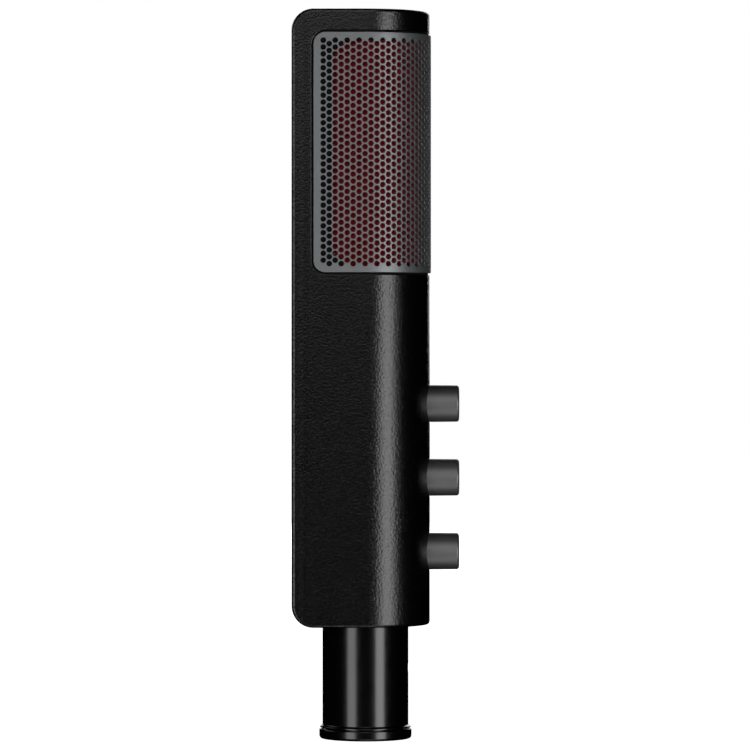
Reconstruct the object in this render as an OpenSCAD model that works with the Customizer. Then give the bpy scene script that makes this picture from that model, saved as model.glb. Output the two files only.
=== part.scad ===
// Side-address ribbon microphone with three front controls.
// Origin on the stem axis at the underside of the base ring, +Z up, +X towards the knobs.

/* [Body] */
// Overall height, from the base ring to the top
overall_h = 215.2; // [213:0.1:218]
// Height of the body's underside above the base
body_z0 = 33.8; // [33.5:0.1:34]
// Radius of the round front, half the body's width
body_r = 19.1; // [18.8:0.1:19.3]
// Distance from the stem axis back to the flat back
body_back = 21.6; // [21.3:0.1:22]
// Radius of the back's top and bottom corners
back_corner_r = 6.4; // [5.5:0.1:7]
// Radius of the long upright edges of the back
back_edge_r = 1; // [0.6:0.1:1.4]
// Thickness of the shell's side wall
shell_wall = 1.8; // [1.6:0.1:1.9]
// Thickness of the shell's back wall, top and floor
shell_plate = 2.5; // [2.4:0.1:2.6]

/* [Grille] */
// Lower edge of the grille
grille_z0 = 138; // [137:0.1:139]
// Upper edge of the grille
grille_z1 = 208.3; // [207.5:0.1:208.8]
// Distance from the stem axis back to the grille's rear edges
grille_back = 15.13; // [14.5:0.01:15.2]
// Radius of the grille's corners
grille_corner_r = 3.8; // [2.5:0.1:4]
// How far the grille stands proud of the body
grille_proud = 0.35; // [0.2:0.05:0.5]
// Thickness of the perforated sheet
grille_t = 0.8; // [0.6:0.1:0.9]
// Gap between the grille's edge and the shell
grille_gap = 0.55; // [0.3:0.05:0.6]
// Distance back to the rear edges of the red liner
liner_back = 9.75; // [8.5:0.05:10]
// Lower edge of the red liner
liner_z0 = 139.6; // [139.2:0.1:141]
// Upper edge of the red liner
liner_z1 = 206; // [204:0.1:206.5]
// Radius of the liner's corners
liner_corner_r = 6.4; // [3:0.1:8]

/* [Controls] */
// Height of the lowest knob's axis
knob_z0 = 55.5; // [55:0.1:56]
// Spacing of the knobs
knob_pitch = 21.9; // [21.5:0.1:22]
// Diameter of a knob at its base
knob_d = 11; // [10:0.1:11.2]
// Diameter of a knob at its end
knob_end_d = 10.8; // [9.8:0.05:11]
// Distance from the stem axis to a knob's end face
knob_end_x = 27.8; // [26:0.1:29]
// Diameter of a control's shaft
shaft_d = 6; // [5.8:0.1:6]

/* [Stem] */
// Outer diameter of the stem
stem_d = 25.5; // [25:0.1:25.6]
// Diameter of the base ring
ring_d = 27.4; // [26.8:0.1:27.6]
// Height of the base ring
ring_h = 2.95; // [2.4:0.05:3.1]
// Inner diameter of the output connector's sleeve
socket_d = 16.2; // [16:0.1:16.4]
// Radius of the circle that the three contact pins stand on
pin_circle_r = 3.8; // [3.5:0.1:4]
// Diameter of a contact pin
pin_d = 2.4; // [2.3:0.1:2.5]

/* [Hidden] */
$fn = 96;

// Small allowances
eps = 0.01;
slip = 0.03;
far = 60;

// Shell
inner_r = body_r - shell_wall;
inner_back = body_back - shell_plate;
floor_z = body_z0 + shell_plate;
ceiling_z = overall_h - shell_plate;
inner_corner_r = 4;

// Openings through the back wall under the cover, for the boards and for the sockets
access_half_w = 9.2;
access_z = [64, 196];
socket_bay_half_w = 13;
socket_bay_z = [43, 52];
access_r = 2;

// M2 screws: shank, tapped hole, free hole and head
m2_r = 1;
m2_tap_r = 1.02;
m2_free_r = 1.1;
m2_head_r = 1.9;
m2_head_h = 1.2;
boss_r = 3;
boss_x = -16;

// How far the frame's land runs out under the gap round the grille
land_reach = grille_gap - 0.05;

// Rear cover, let into a rebate in the back wall
cover_t = 1.5;
cover_gap = 0.2;
cover_half_w = 15.4;
cover_z0 = 41.4;
cover_z1 = 207.4;
cover_r = 3;
rebate_x = -body_back + cover_t;
cover_screw_y = 11;
cover_screw_z = [57, 202.8];
cover_screw_r = 1.2;
cover_head_r = 2.33;
cover_head_h = 1.08;
recess_half_l = 1.4;
recess_depth = 0.6;

// Chassis and its plate behind everything
chassis_x = -15.5;
chassis_t = 1.5;
chassis_half_w = 14.5;
chassis_z0 = 63;
chassis_z1 = 210;
chassis_screw_y = 12.2;
chassis_screw_z = [86, 190];
shelf_t = 1.5;
shelf_low_z = 140;
shelf_high_z = 204.5;
shelf_front = 8;
shelf_half_w = 10;

// Ribbon motor
motor_z0 = 146;
motor_z1 = 200;
motor_half_w = 13;
motor_half_d = 6;
bar_h = 5;
gap_half_w = 8.5;
magnet_half_d = 5;
magnet_y = 4.9;
pole_y = 2.6;
pole_half_d = 1.8;
ribbon_half_w = 2.3;
ribbon_t = 0.1;
fold_pitch = 1.6;
fold_depth = 0.35;
pocket_half_w = 5;
pocket_depth = 3.4;
clamp_half_w = 4.5;
clamp_t = 2.3;
clamp_h = 2.9;
clamp_screw_y = 3.5;
upper_clamp_z = motor_z1 - bar_h - 0.1;
lower_clamp_z = motor_z0 + bar_h + 0.1 - clamp_h;
mount_y = 8;
mount_r = 3;
pad_x = -8.5;
pad_half_w = 9;

// Transformer
trafo_x = -3;
trafo_r = 10.5;
trafo_z = 110.3;
trafo_h = 20;
trafo_shelf_t = 1.2;
trafo_shelf_half_w = 8;
trafo_back_z = 130;
trafo_screw_y = 5;
trafo_screw_z = [114, 126];
can_t = 0.8;
lead_x = 9;
lead_y = 1.6;
lead_low_z = 134;

// Controls
controls = [for (i = [0:2]) knob_z0 + i * knob_pitch];
shaft_r = shaft_d / 2;
shaft_clear = 0.05;
bushing_r = 3.5;
panel_x = 6.5;
panel_t = 1.2;
bracket_half_w = 14.4;
bracket_z0 = 48.5;
bracket_z1 = 107;
tab_w = 4.4;
tab_x = chassis_x + 0.1;
tab_screw_y = 12;
tab_screw_z = [70, 102];
washer_t = 0.5;
nut_t = 2;
nut_across = 10;
bushing_x = 13.5;
pot_half_w = 5.5;
pot_half_h = 6;
washer_r = 5.8;
shaft_x0 = 2.3;
shaft_x1 = 24.5;
knob_x0 = 16.9;
shaft_flat = 1;
knob_round = 0.8;
pointer = [1.2, 4.4];
pointer_w = 0.8;
pointer_depth = 0.35;
knob_clear = 0.3;

// Boards
board_t = 1.6;
control_board_half_w = 12.5;
main_board_x = -12.5;
main_board_half_w = 12;
main_board_z = [64, 106];
lead_half_w = 5;
lead_z = 84;
board_hole_r = 1.05;
standoff_r = 2;
standoff_bore_r = 0.97;
standoff_y = 7;
standoff_z = [68, 102];
io_z = 43.5;
io_x = [-18.5, -3];
io_half_w = 16;
io_post = [[-12.8, 13.5], [-6, 14.2]];
io_post_r = 2;
usb_y = 7;
usb_w = 8.94;
usb_h = 3.2;
usb_l = 7.3;
usb_r = 1.5;
usb_t = 0.3;
jack_y = -7;
jack_half_w = 3.1;
jack_z = io_z + board_t + jack_half_w;
jack_nose_r = 3;
jack_ring_r = 4.2;
jack_bore_r = 1.8;
jack_bore_l = 14.5;

// Stem
stem_r = stem_d / 2;
ring_r = ring_d / 2;
stem_z0 = 3.3;
flare_z = 4.25;
flare_r = 13.45;
flare_edge_z = 3.6;
stem_bore_r = 11;
neck_r = 11;
neck_top = 39;
neck_bore_r = 9.5;
step_z = 24;
stem_nut_r = 13;
stem_nut_h = 2.6;
groove_r = 11.4;
socket_r = socket_d / 2;
socket_h = 15;
insert_z = [15.1, 23.9];
pin_z = [3, 27];
pin_angles = [90, 210, 330];
set_screw_z = 21;
set_screw_r = 1.45;

// A box between two corners
module box(lo, hi) {
    translate(lo) cube(hi - lo);
}

// A cylinder that runs along X between two distances
module rod_x(r, x0, x1, y, z) {
    translate([x0, y, z]) rotate([0, 90, 0]) cylinder(r = r, h = x1 - x0);
}

// A cylinder that runs along Z between two heights
module rod_z(r, z0, z1, x, y) {
    translate([x, y, z0]) cylinder(r = r, h = z1 - z0);
}

// A flat rectangle with round corners, between two corners
module round_rect(lo, hi, r) {
    translate([lo.x + r, lo.y]) square([hi.x - lo.x - 2 * r, hi.y - lo.y]);
    translate([lo.x, lo.y + r]) square([hi.x - lo.x, hi.y - lo.y - 2 * r]);
    for (x = [lo.x + r, hi.x - r], y = [lo.y + r, hi.y - r]) translate([x, y]) circle(r = r);
}

// Turns a drawing of X and Z into a slab across the whole width
module across(half_w = far) {
    rotate([90, 0, 0]) linear_extrude(height = 2 * half_w, center = true) children();
}

// Turns a drawing of Y and Z into a slab between two distances
module along(x0, x1) {
    translate([x0, 0, 0]) rotate([90, 0, 90]) linear_extrude(height = x1 - x0) children();
}

// The D-shaped plan: round front, flat sides and a flat back
module plan(r, back, edge_r) {
    circle(r = r);
    translate([-back + edge_r, -r]) square([back - edge_r, 2 * r]);
    translate([-back, -r + edge_r]) square([back, 2 * (r - edge_r)]);
    for (side = [-1, 1]) translate([-back + edge_r, side * (r - edge_r)]) circle(r = edge_r);
}

// The body's solid form with its large back corners
module d_block(r, back, z0, z1, edge_r, corner_r) {
    intersection() {
        translate([0, 0, z0]) linear_extrude(height = z1 - z0) plan(r, back, edge_r);
        across() round_rect([-back, z0], [far, z1], corner_r);
    }
}

// A sheet bent round the front, with round rear corners
module wrapped_sheet(r_in, r_out, back, z0, z1, corner_r) {
    intersection() {
        translate([0, 0, z0]) linear_extrude(height = z1 - z0) difference() {
            union() {
                circle(r = r_out);
                translate([-back, -r_out]) square([back, 2 * r_out]);
            }
            circle(r = r_in);
            translate([-back - 1, -r_in]) square([back + 1, 2 * r_in]);
        }
        across() round_rect([-back, z0], [far, z1], corner_r);
    }
}

// A round-head screw whose head bears at x and whose shank runs to x_tip
module screw_x(r, head_r, head_h, x, x_tip, y, z) {
    way = x_tip > x ? 1 : -1;
    rod_x(r, min(x, x_tip), max(x, x_tip), y, z);
    difference() {
        rod_x(head_r, min(x, x - way * head_h), max(x, x - way * head_h), y, z);
        cross_slots(x - way * head_h, head_r * 0.6, head_h * 0.5, y, z);
    }
}

// The cross recess of a screw head that faces along X
module cross_slots(x, reach, depth, y, z) {
    box([x - depth, y - reach, z - 0.25], [x + depth, y + reach, z + 0.25]);
    box([x - depth, y - 0.25, z - reach], [x + depth, y + 0.25, z + reach]);
}

// A round wire through a list of points, each stretch run on a little past its bends
module wire(points, r) {
    last = len(points) - 2;
    for (i = [0:last]) {
        d = points[i + 1] - points[i];
        lead_in = i > 0 ? 0.6 * r : 0;
        lead_out = i < last ? 0.6 * r : 0;
        translate(points[i]) rotate([0, atan2(norm([d.x, d.y]), d.z), atan2(d.y, d.x)])
            translate([0, 0, -lead_in]) cylinder(r = r, h = norm(d) + lead_in + lead_out, $fn = 24);
    }
}

// ---- Housing ----

module main_shell() {
    color("#17171a") difference() {
        union() {
            difference() {
                d_block(body_r, body_back, body_z0, overall_h, back_edge_r, back_corner_r);
                d_block(inner_r, inner_back, floor_z, ceiling_z, back_edge_r, inner_corner_r);
            }
            for (side = [-1, 1]) {
                for (z = cover_screw_z)
                    rod_x(boss_r, -inner_back - eps, boss_x, side * cover_screw_y, z);
                for (z = chassis_screw_z)
                    rod_x(boss_r, -inner_back - eps, chassis_x - chassis_t, side * chassis_screw_y, z);
            }
        }
        across() round_rect(
            [-grille_back - grille_gap, grille_z0 - grille_gap], [far, grille_z1 + grille_gap],
            grille_corner_r + grille_gap);
        along(-body_back - 1, rebate_x) round_rect(
            [-cover_half_w - cover_gap, cover_z0 - cover_gap],
            [cover_half_w + cover_gap, cover_z1 + cover_gap], cover_r + cover_gap);
        along(rebate_x - 1, -inner_back + 1) {
            round_rect([-access_half_w, access_z[0]], [access_half_w, access_z[1]], access_r);
            round_rect(
                [-socket_bay_half_w, socket_bay_z[0]], [socket_bay_half_w, socket_bay_z[1]], access_r);
        }
        for (side = [-1, 1]) {
            for (z = cover_screw_z)
                rod_x(cover_screw_r + 0.02, rebate_x - 1, boss_x + 1, side * cover_screw_y, z);
            for (z = chassis_screw_z)
                rod_x(m2_tap_r, rebate_x + 0.3, chassis_x + 0.5, side * chassis_screw_y, z);
        }
        for (z = controls) rod_x(knob_d / 2 + knob_clear, 10, body_r + 1, 0, z);
        rod_z(neck_r + 0.1, body_z0 - 1, floor_z + 1, 0, 0);
    }
}

module rear_cover() {
    color("#1b1b1e") difference() {
        along(-body_back, rebate_x)
            round_rect([-cover_half_w, cover_z0], [cover_half_w, cover_z1], cover_r);
        for (side = [-1, 1], z = cover_screw_z) {
            rod_x(cover_screw_r + 0.1, -body_back - 1, rebate_x + 1, side * cover_screw_y, z);
            translate([-body_back - eps, side * cover_screw_y, z]) rotate([0, 90, 0])
                cylinder(r1 = cover_head_r + 0.07, r2 = cover_screw_r + 0.1, h = cover_head_h + 0.02);
        }
        rod_x(jack_ring_r + 0.05, -body_back - 1, rebate_x + 1, jack_y, jack_z);
        along(-body_back - 1, rebate_x + 1) round_rect(
            [usb_y - usb_w / 2 - 0.3, io_z + board_t - 0.3],
            [usb_y + usb_w / 2 + 0.3, io_z + board_t + usb_h + 0.3], usb_r + 0.3);
    }
}

module rear_cover_screws() {
    color("#2a2a2c") for (side = [-1, 1], z = cover_screw_z) difference() {
        union() {
            rod_x(cover_screw_r, -body_back + 0.1, boss_x - 0.5, side * cover_screw_y, z);
            translate([-body_back + 0.03, side * cover_screw_y, z]) rotate([0, 90, 0])
                cylinder(r1 = cover_head_r, r2 = cover_screw_r, h = cover_head_h);
        }
        cross_slots(-body_back, recess_half_l, recess_depth, side * cover_screw_y, z);
    }
}

module grille() {
    color("#6f7374") wrapped_sheet(
        body_r + grille_proud - grille_t, body_r + grille_proud, grille_back,
        grille_z0, grille_z1, grille_corner_r);
}

module liner_window(gap, x1 = far) {
    across() round_rect(
        [-liner_back - gap, liner_z0 - gap], [x1, liner_z1 + gap], liner_corner_r + gap);
}

module windscreen_liner() {
    color("#7a1a20") intersection() {
        wrapped_sheet(16.2, body_r + grille_proud - grille_t - 0.25, liner_back + 1,
            grille_z0, grille_z1, 1);
        liner_window(-0.1);
    }
}

module grille_frame() {
    color("#0c0c0d") difference() {
        union() {
            wrapped_sheet(16.1, inner_r - 0.05, 17.3, grille_z0 - 2.1, grille_z1 + 2.1, 5);
            wrapped_sheet(inner_r - 0.3, body_r + grille_proud - grille_t - 0.05,
                grille_back + land_reach, grille_z0 - land_reach, grille_z1 + land_reach,
                grille_corner_r + land_reach);
        }
        liner_window(0);
    }
}

// ---- Chassis ----

module chassis_frame() {
    color("silver") difference() {
        union() {
            box([chassis_x - chassis_t, -chassis_half_w, chassis_z0],
                [chassis_x, chassis_half_w, chassis_z1]);
            for (z = [shelf_low_z, shelf_high_z])
                box([chassis_x - eps, -shelf_half_w, z], [shelf_front, shelf_half_w, z + shelf_t]);
        }
        for (side = [-1, 1]) {
            rod_x(boss_r + 0.4, -20, -10, side * cover_screw_y, cover_screw_z[1]);
            for (z = chassis_screw_z) rod_x(m2_free_r, -20, -10, side * chassis_screw_y, z);
            for (z = tab_screw_z) rod_x(m2_free_r, -20, -10, side * tab_screw_y, z);
            for (z = standoff_z) rod_x(standoff_bore_r, -20, -10, side * standoff_y, z);
            for (z = trafo_screw_z) rod_x(m2_tap_r, -20, -10, side * trafo_screw_y, z);
            rod_z(m2_free_r, shelf_low_z - 1, shelf_high_z + 3, 0, side * mount_y);
        }
    }
}

module chassis_screws() {
    color("#8a8a8c") for (side = [-1, 1], z = chassis_screw_z)
        screw_x(m2_r, m2_head_r, m2_head_h, chassis_x, rebate_x + 0.5, side * chassis_screw_y, z);
}

// ---- Ribbon motor ----

module motor_yoke() {
    color("#5b5f63") difference() {
        box([-motor_half_d, -motor_half_w, motor_z0], [motor_half_d, motor_half_w, motor_z1]);
        box([-far, -gap_half_w, motor_z0 + bar_h], [far, gap_half_w, motor_z1 - bar_h]);
        box([-far, -pocket_half_w, motor_z0 + bar_h - pocket_depth],
            [far, pocket_half_w, motor_z1 - bar_h + pocket_depth]);
        for (side = [-1, 1]) {
            rod_z(m2_tap_r, motor_z0 - 1, motor_z0 + 3, 0, side * mount_y);
            rod_z(m2_tap_r, motor_z1 - 3, motor_z1 + 1, 0, side * mount_y);
        }
    }
}

module magnet(side) {
    low = side > 0 ? magnet_y : -gap_half_w + 0.05;
    high = side > 0 ? gap_half_w - 0.05 : -magnet_y;
    color("#8d9093") box(
        [-magnet_half_d, low, motor_z0 + bar_h + 1], [magnet_half_d, high, motor_z1 - bar_h - 1]);
}

// A pole piece narrows towards the ribbon
module pole_piece(side) {
    color("#6d7175") mirror([0, side > 0 ? 0 : 1, 0])
        translate([0, 0, motor_z0 + bar_h + 1])
            linear_extrude(height = motor_z1 - motor_z0 - 2 * bar_h - 2)
                polygon([
                    [-3.6, magnet_y - 0.05], [3.6, magnet_y - 0.05],
                    [pole_half_d, pole_y], [-pole_half_d, pole_y]]);
}

module ribbon() {
    z0 = motor_z0 + bar_h;
    folds = floor((motor_z1 - motor_z0 - 2 * bar_h - 0.8) / fold_pitch);
    start = (motor_z0 + motor_z1) / 2 - folds * fold_pitch / 2;
    crease = concat(
        [[0, z0 - 2.6], [0, start]],
        [for (i = [0:2 * folds - 1])
            [(i % 2 == 0 ? 1 : -1) * fold_depth, start + (i + 0.5) * fold_pitch / 2]],
        [[0, start + folds * fold_pitch], [0, motor_z1 - bar_h + 2.6]]);
    outline = concat(
        [for (p = crease) [p.x - ribbon_t / 2, p.y]],
        [for (i = [len(crease) - 1:-1:0]) [crease[i].x + ribbon_t / 2, crease[i].y]]);
    color("#d5d8da") across(ribbon_half_w) polygon(outline);
}

// Two plates that grip one end of the ribbon
module ribbon_clamp(z0) {
    color("#b08d3c") difference() {
        for (way = [-1, 1])
            box([min(way * (ribbon_t / 2 + eps), way * clamp_t), -clamp_half_w, z0],
                [max(way * (ribbon_t / 2 + eps), way * clamp_t), clamp_half_w, z0 + clamp_h]);
        for (side = [-1, 1]) rod_x(0.52, -5, 5, side * clamp_screw_y, z0 + clamp_h / 2);
    }
}

module clamp_screws() {
    color("#c0c0c2") for (side = [-1, 1], z = [upper_clamp_z, lower_clamp_z])
        screw_x(0.5, 1, 0.7, clamp_t, -clamp_t - 0.3, side * clamp_screw_y, z + clamp_h / 2);
}

module clamp_insulators() {
    color("#8b3d22") for (z = [motor_z1 - bar_h + clamp_h, motor_z0 + bar_h - clamp_h - 0.4])
        box([-4, -pocket_half_w + 0.1, z], [4, pocket_half_w - 0.1, z + 0.4]);
}

module damping_pad() {
    color("#3b3a38") box([chassis_x + 0.1, -pad_half_w, motor_z0], [pad_x, pad_half_w, motor_z1]);
}

module rubber_mounts() {
    color("#111111") for (
        side = [-1, 1], span = [[shelf_low_z + shelf_t, motor_z0], [motor_z1, shelf_high_z]])
        difference() {
            union() {
                rod_z(mount_r, span[0], span[1], 0, side * mount_y);
                translate([0, side * mount_y, (span[0] + span[1]) / 2])
                    rotate_extrude() translate([mount_r, 0]) circle(r = 0.8, $fn = 32);
            }
            rod_z(m2_free_r, span[0] - 1, span[1] + 1, 0, side * mount_y);
        }
}

module mount_screws() {
    color("#8a8a8c") for (side = [-1, 1]) {
        rod_z(m2_r, motor_z1 - 2.8, shelf_high_z + shelf_t, 0, side * mount_y);
        rod_z(m2_head_r, shelf_high_z + shelf_t, shelf_high_z + shelf_t + m2_head_h, 0, side * mount_y);
        rod_z(m2_r, shelf_low_z, motor_z0 + 2.8, 0, side * mount_y);
        rod_z(m2_head_r, shelf_low_z - m2_head_h, shelf_low_z, 0, side * mount_y);
    }
}

// ---- Transformer ----

module transformer_bracket() {
    x0 = chassis_x + 0.02;
    z0 = trafo_z - trafo_shelf_t;
    color("silver") difference() {
        union() {
            box([x0, -trafo_shelf_half_w, z0], [x0 + trafo_shelf_t, trafo_shelf_half_w, trafo_back_z]);
            box([x0, -trafo_shelf_half_w, z0], [6, trafo_shelf_half_w, trafo_z - 0.02]);
        }
        for (side = [-1, 1], z = trafo_screw_z) rod_x(m2_free_r, -20, -10, side * trafo_screw_y, z);
    }
}

module transformer_can() {
    color("#9a9da0") difference() {
        rod_z(trafo_r, trafo_z, trafo_z + trafo_h, trafo_x, 0);
        rod_z(trafo_r - can_t, trafo_z - 1, trafo_z + trafo_h - can_t, trafo_x, 0);
        for (side = [-1, 1]) rod_z(0.6, trafo_z + 10, trafo_z + trafo_h + 1, 0, side * lead_y);
    }
}

module transformer_core() {
    color("#7b4a2a") translate([trafo_x, 0, 0]) {
        rod_z(8.6, trafo_z + 3, trafo_z + 16, 0, 0);
        box([-3, -9, trafo_z + 0.1], [3, 9, trafo_z + 3.1]);
        box([-3, -9, trafo_z + 15.9], [3, 9, trafo_z + 17.8]);
    }
}

// Stub screws, short enough to clear the can
module transformer_screws() {
    color("#8a8a8c") for (side = [-1, 1], z = trafo_screw_z)
        screw_x(
            m2_r, m2_head_r, 1.1, chassis_x - chassis_t, chassis_x + 1.4, side * trafo_screw_y, z);
}

// ---- Controls ----

// The channel behind the knobs, notched round the heads of the chassis screws
module control_bracket() {
    color("silver") difference() {
        box([tab_x, -bracket_half_w, bracket_z0], [panel_x + panel_t, bracket_half_w, bracket_z1]);
        box([tab_x - 1, -bracket_half_w + panel_t, bracket_z0 - 1],
            [panel_x, bracket_half_w - panel_t, bracket_z1 + 1]);
        for (z = controls) rod_x(bushing_r + 0.1, 0, 10, 0, z);
        box([tab_x - 1, -far, bracket_z0 - 1], [-8, far, chassis_z0 + 0.5]);
        notch_z = chassis_screw_z[0];
        notch_half_h = m2_head_r + 0.6;
        box([tab_x - 1, -far, notch_z - notch_half_h],
            [chassis_x + m2_head_h + 0.5, far, notch_z + notch_half_h]);
    }
    color("silver") for (side = [-1, 1], z = tab_screw_z) difference() {
        box([tab_x, side > 0 ? bracket_half_w - tab_w : -bracket_half_w, z - 4],
            [tab_x + panel_t, side > 0 ? bracket_half_w : -bracket_half_w + tab_w, z + 4]);
        rod_x(m2_tap_r, -20, -10, side * tab_screw_y, z);
    }
}

module bracket_screws() {
    color("#8a8a8c") for (side = [-1, 1], z = tab_screw_z)
        screw_x(m2_r, m2_head_r, 1.1, chassis_x - chassis_t, chassis_x + 1.9, side * tab_screw_y, z);
}

module control_board() {
    color("#1f5c36")
        box([-board_t, -control_board_half_w, bracket_z0], [0, control_board_half_w, bracket_z1]);
}

module control_lead() {
    color("#c9c9c4")
        box([main_board_x + board_t, -lead_half_w, lead_z], [-board_t, lead_half_w, lead_z + 0.6]);
}

// A potentiometer: its square body and threaded bushing
module pot(z) {
    color("#3d4045") difference() {
        union() {
            box([0.05, -pot_half_w, z - pot_half_h], [panel_x, pot_half_w, z + pot_half_h]);
            rod_x(bushing_r, panel_x - 1, bushing_x, 0, z);
        }
        rod_x(shaft_r + shaft_clear, shaft_x0 - 0.3, bushing_x + 1, 0, z);
    }
}

module pot_washers() {
    x = panel_x + panel_t;
    color("#b9bbbd") for (z = controls) difference() {
        rod_x(washer_r, x, x + washer_t, 0, z);
        rod_x(bushing_r + 0.1, x - 1, x + washer_t + 1, 0, z);
    }
}

module pot_nuts() {
    x = panel_x + panel_t + washer_t;
    color("#b9bbbd") for (z = controls) difference() {
        translate([x, 0, z]) rotate([0, 90, 0])
            cylinder(r = nut_across / 2 / cos(30), h = nut_t, $fn = 6);
        rod_x(bushing_r + slip, x - 1, x + nut_t + 1, 0, z);
    }
}

// A control's shaft, flatted where the knob grips it
module shaft(z) {
    color("#a7a9ab") difference() {
        rod_x(shaft_r, shaft_x0, shaft_x1, 0, z);
        box([knob_x0 + 1, -far, z + shaft_r - shaft_flat], [far, far, z + far]);
    }
}

// A turned knob with a round end edge and a pointer slot in its face
module knob(z) {
    length = knob_end_x - knob_x0;
    end_r = knob_end_d / 2;
    outline = concat(
        [[0, 0], [knob_d / 2, 0]],
        [for (a = [0:15:90]) [
            end_r - knob_round * (1 - cos(a)), length - knob_round * (1 - sin(a))]],
        [[0, length]]);
    color("#3a3a3c") difference() {
        translate([knob_x0, 0, z]) rotate([0, 90, 0]) rotate_extrude() polygon(outline);
        difference() {
            rod_x(shaft_r + 0.02, knob_x0 - 1, shaft_x1 + 0.1, 0, z);
            box([knob_x0 + 1, -far, z + shaft_r - shaft_flat + 0.02], [far, far, z + far]);
        }
        box([knob_end_x - pointer_depth, -pointer_w / 2, z + pointer[0]],
            [far, pointer_w / 2, z + pointer[1]]);
    }
}

// ---- Boards and sockets ----

module main_board() {
    color("#1f5c36") difference() {
        box([main_board_x, -main_board_half_w, main_board_z[0]],
            [main_board_x + board_t, main_board_half_w, main_board_z[1]]);
        for (side = [-1, 1], z = standoff_z) rod_x(board_hole_r, -20, 0, side * standoff_y, z);
    }
}

// Chips as [y, z, width, height, thickness] and capacitors as [y, z, radius, length], then resistors
module board_components() {
    x = main_board_x + board_t;
    chips = [[-3.5, 73, 7, 7, 1.2], [-10, 88, 6, 8, 1.2], [3, 89, 6, 5, 1.5]];
    capacitors = [[-8.5, 76, 2.5, 5.5], [-8.5, 83, 2.5, 5.5], [8.6, 79, 3.15, 5.2]];
    color("#1a1a1c") {
        for (c = chips) box([x, c[0], c[1]], [x + c[4], c[0] + c[2], c[1] + c[3]]);
        for (c = capacitors) rod_x(c[2], x, x + c[3], c[0], c[1]);
        for (i = [0:4]) box([x, -9.5 + 4 * i, 98.2], [x + 0.6, -8 + 4 * i, 99]);
    }
}

module board_standoffs() {
    color("#b08d3c") for (side = [-1, 1], z = standoff_z) difference() {
        rod_x(standoff_r, chassis_x, main_board_x, side * standoff_y, z);
        rod_x(standoff_bore_r, -20, 0, side * standoff_y, z);
    }
}

module board_screws() {
    color("#c0c0c2") for (side = [-1, 1], z = standoff_z)
        screw_x(standoff_bore_r - 0.02, m2_head_r, m2_head_h, main_board_x + board_t, main_board_x - 2.3,
            side * standoff_y, z);
}

module io_board() {
    color("#1f5c36") difference() {
        box([io_x[0], -io_half_w, io_z], [io_x[1], io_half_w, io_z + board_t]);
        for (p = io_post, side = [-1, 1]) rod_z(board_hole_r, io_z - 1, io_z + 3, p.x, side * p.y);
    }
}

module io_standoffs() {
    color("#b08d3c") for (p = io_post, side = [-1, 1]) {
        rod_z(io_post_r, floor_z, io_z, p.x, side * p.y);
        rod_z(m2_r, io_z - 1, io_z + board_t + 0.9, p.x, side * p.y);
    }
}

// USB type C receptacle: a flattened tube with its tongue
module usb_socket() {
    z = io_z + board_t;
    x0 = -body_back + 0.3;
    color("#b9bbbd") difference() {
        along(x0, x0 + usb_l)
            round_rect([usb_y - usb_w / 2, z], [usb_y + usb_w / 2, z + usb_h], usb_r);
        along(x0 - 1, x0 + usb_l - 1) round_rect(
            [usb_y - usb_w / 2 + usb_t, z + usb_t],
            [usb_y + usb_w / 2 - usb_t, z + usb_h - usb_t], usb_r - usb_t);
    }
    color("#1a1a1c") box([x0 + 0.9, usb_y - 3.3, z + usb_h / 2 - 0.35],
        [x0 + usb_l - 0.5, usb_y + 3.3, z + usb_h / 2 + 0.35]);
}

module headphone_jack() {
    color("#1a1a1c") difference() {
        union() {
            box([rebate_x + 0.05, jack_y - jack_half_w, io_z + board_t],
                [-body_back + jack_bore_l + 1.2, jack_y + jack_half_w, jack_z + jack_half_w]);
            rod_x(jack_nose_r, -body_back, rebate_x + 1, jack_y, jack_z);
        }
        rod_x(jack_bore_r, -body_back - 1, -body_back + jack_bore_l, jack_y, jack_z);
    }
}

module jack_ring() {
    color("#b9bbbd") difference() {
        rod_x(jack_ring_r, -body_back, rebate_x, jack_y, jack_z);
        rod_x(jack_nose_r + 0.05, -body_back - 1, rebate_x + 1, jack_y, jack_z);
    }
}

// ---- Stem and output connector ----

module stem_tube() {
    color("#141416") difference() {
        rotate_extrude() polygon([
            [stem_bore_r, stem_z0], [flare_r - 0.1, stem_z0], [flare_r, stem_z0 + 0.1],
            [flare_r, flare_edge_z], [stem_r, flare_z],
            [stem_r, body_z0], [neck_r, body_z0], [neck_r, neck_top],
            [neck_bore_r, neck_top], [neck_bore_r, step_z], [stem_bore_r, step_z]]);
        rod_x(set_screw_r + 0.05, 5, far, 0, set_screw_z);
    }
}

module stem_nut() {
    color("#8a8a8c") difference() {
        rod_z(stem_nut_r, floor_z, floor_z + stem_nut_h, 0, 0);
        rod_z(neck_r + slip, floor_z - 1, neck_top + 5, 0, 0);
        for (a = [45:90:315]) rotate([0, 0, a]) box([12, -1, 0], [20, 1, 60]);
    }
}

module base_ring() {
    edge = 0.7;
    color("#141416") rotate_extrude() polygon(concat(
        [[socket_r + 0.4, 0]],
        [for (a = [-90:15:0]) [ring_r - edge + edge * cos(a), edge + edge * sin(a)]],
        [for (a = [0:30:90]) [ring_r - 0.3 + 0.3 * cos(a), ring_h - 0.3 + 0.3 * sin(a)]],
        [[groove_r, ring_h], [groove_r, stem_z0 - eps], [stem_bore_r - 0.05, stem_z0 - eps],
         [stem_bore_r - 0.05, socket_h], [socket_r, socket_h], [socket_r, 0.4]]));
}

module connector_insert() {
    color("#1a1a1c") difference() {
        rod_z(stem_bore_r - 0.05, insert_z[0], insert_z[1], 0, 0);
        for (a = pin_angles) rotate([0, 0, a]) rod_z(pin_d / 2 + 0.02, 10, 30, pin_circle_r, 0);
        rod_x(set_screw_r + 0.05, 7.8, far, 0, set_screw_z);
    }
}

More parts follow.
